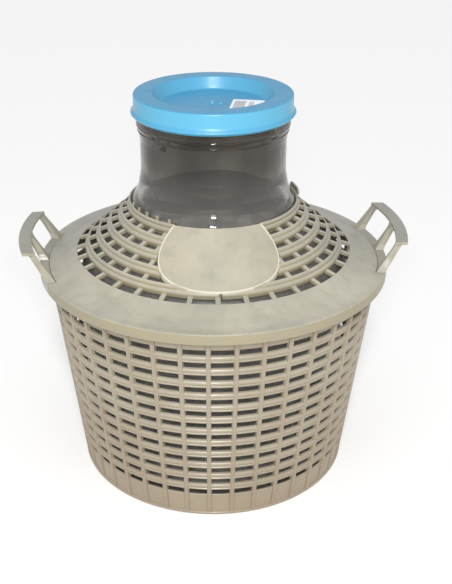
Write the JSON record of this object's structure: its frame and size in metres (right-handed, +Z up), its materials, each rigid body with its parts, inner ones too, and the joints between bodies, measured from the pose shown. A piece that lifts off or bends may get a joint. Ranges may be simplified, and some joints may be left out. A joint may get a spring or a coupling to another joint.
{
  "type": "wide-mouth glass demijohn in a plastic basket",
  "caption": "Wide-mouth glass carboy standing in a slotted plastic basket with a stepped cover, two raised handles and a push-on lid.",
  "frame": {"origin": "centre of the underside of the basket, on the vessel's axis", "axes": "+Z up along the vessel's axis, the two handles along +X and -X, the smooth front plate of the cover towards -Y"},
  "size_m": [0.42, 0.3798, 0.4227],
  "materials": {
    "basket_plastic": "beige moulded polyethylene, slightly worn",
    "cover_plastic": "beige moulded polyethylene, slightly worn",
    "smoky_glass": "clear blown glass that looks dark and smoky",
    "blue_plastic": "sky blue moulded plastic",
    "label_paper": "matt paper label with grey bars"
  },
  "bodies": {
    "carboy": {"glass_vessel": "smoky_glass", "basket_body": "basket_plastic", "basket_cover": "cover_plastic"},
    "lid": {"lid": "blue_plastic", "sticker": "label_paper"}
  },
  "joints": [
    {"name": "lid_lift", "type": "slide", "parent": "carboy", "child": "lid", "axis": [0, 0, 1], "range_m": [0, 0.08]}
  ]
}
